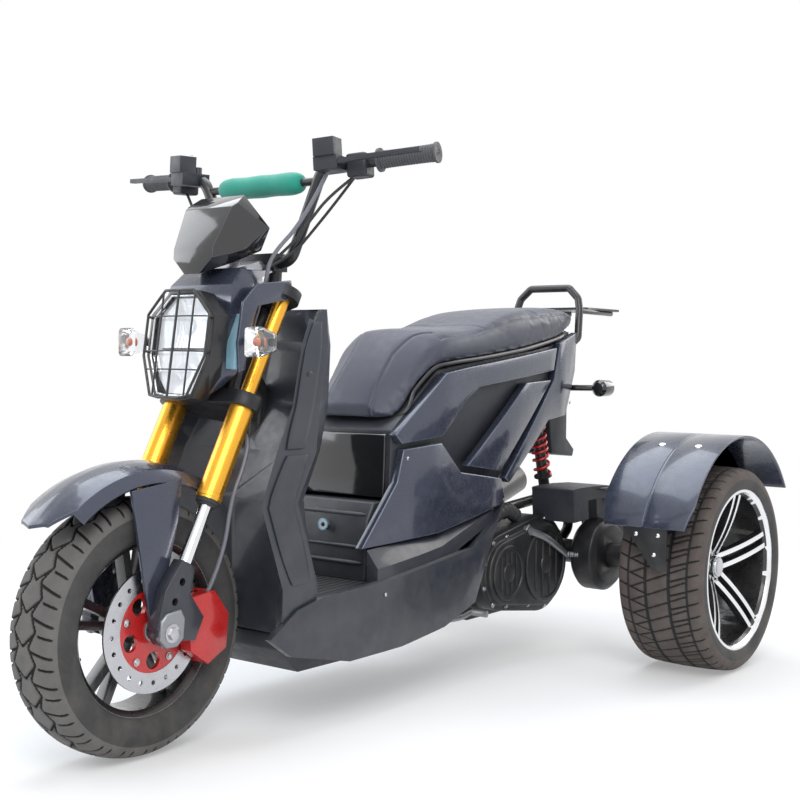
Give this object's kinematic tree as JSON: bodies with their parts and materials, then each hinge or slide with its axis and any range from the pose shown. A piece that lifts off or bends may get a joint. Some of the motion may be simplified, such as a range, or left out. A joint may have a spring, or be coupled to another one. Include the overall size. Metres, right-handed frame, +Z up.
{
  "type": "three-wheeled scooter",
  "caption": "Step-through scooter on one front and two wide rear wheels, with a raked fork, arched rear fenders, a long seat that tips up, a grab rail and a luggage rack.",
  "frame": {"origin": "on the ground, under the middle of the vehicle's length and width", "axes": "+Z up, -Y the way it drives, +X the rider's left; the steering is straight and the seat is shut"},
  "size_m": [1.226, 1.9429, 1.1554],
  "materials": {
    "panel": "satin",
    "dark_plastic": "matt",
    "vinyl": "satin",
    "gold": "gloss",
    "chrome": "polished",
    "black_metal": "satin",
    "grey_cast": "cast",
    "dark_cast": "cast",
    "steel": "brushed",
    "silver_rim": "machined",
    "tyre": "matt",
    "rubber": "matt",
    "red": "gloss",
    "teal": "woven",
    "clear": "clear",
    "blue_lens": "clear",
    "red_lens": "clear",
    "smoke": "gloss"
  },
  "bodies": {
    "chassis": {"main_frame": "black_metal", "rear_axle": "black_metal", "body_core": "dark_plastic", "leg_shield": "panel", "knee_panel": "dark_plastic", "floorboard": "dark_plastic", "step_box": "dark_plastic", "seat_front_panel": "smoke", "ignition_lock": "chrome", "side_skirts": "panel", "belly_pan": "dark_plastic", "side_panels": "panel", "side_trims": "panel", "tail_covers": "panel", "grab_rail": "chrome", "luggage_rack": "black_metal", "tail_lamp": "red_lens", "plate_bracket": "dark_plastic", "rear_signals": "smoke", "engine_block": "dark_cast", "belt_case": "dark_cast", "exhaust": "black_metal", "drive_housing": "dark_cast", "drive_guard": "dark_plastic", "shocks": "black_metal", "shock_springs": "red", "wheel_fenders": "panel", "fender_brackets": "steel"},
    "steering": {"fork_tubes": "gold", "stanchions": "chrome", "fork_lowers": "dark_cast", "lower_yoke": "dark_cast", "upper_yoke": "dark_cast", "handlebar": "black_metal", "bar_pad": "teal", "grips": "rubber", "hand_controls": "dark_plastic", "headlamp_shell": "panel", "headlamp_lens": "clear", "headlamp_grille": "black_metal", "meter_visor": "smoke", "lamp_arms": "panel", "side_lenses": "blue_lens", "front_signals": "clear", "front_fender": "panel", "fender_struts": "panel", "brake_caliper": "red", "brake_hose": "rubber"},
    "front_wheel": {"front_tyre": "tyre", "front_rim": "black_metal", "brake_disc": "steel", "disc_carrier": "red"},
    "rear_wheel_left": {"rear_tyre_left": "tyre", "rear_rim_left": "silver_rim"},
    "rear_wheel_right": {"rear_tyre_right": "tyre", "rear_rim_right": "silver_rim"},
    "seat": {"seat": "vinyl"}
  },
  "joints": [
    {"name": "steering", "type": "hinge", "parent": "chassis", "child": "steering", "pos_m": [0, -0.71399, 0.22784], "axis": [0, 0.4617, 0.887], "range_deg": [-30, 30]},
    {"name": "front_wheel_spin", "type": "hinge", "parent": "steering", "child": "front_wheel", "pos_m": [0, -0.7335, 0.238], "axis": [1, 0, 0], "continuous": true},
    {"name": "rear_wheel_left_spin", "type": "hinge", "parent": "chassis", "child": "rear_wheel_left", "pos_m": [0.508, 0.6165, 0.243], "axis": [1, 0, 0], "continuous": true},
    {"name": "rear_wheel_right_spin", "type": "hinge", "parent": "chassis", "child": "rear_wheel_right", "pos_m": [-0.508, 0.6165, 0.243], "axis": [1, 0, 0], "continuous": true},
    {"name": "seat_hinge", "type": "hinge", "parent": "chassis", "child": "seat", "pos_m": [0, -0.1015, 0.588], "axis": [1, 0, 0], "range_deg": [0, 70]}
  ]
}
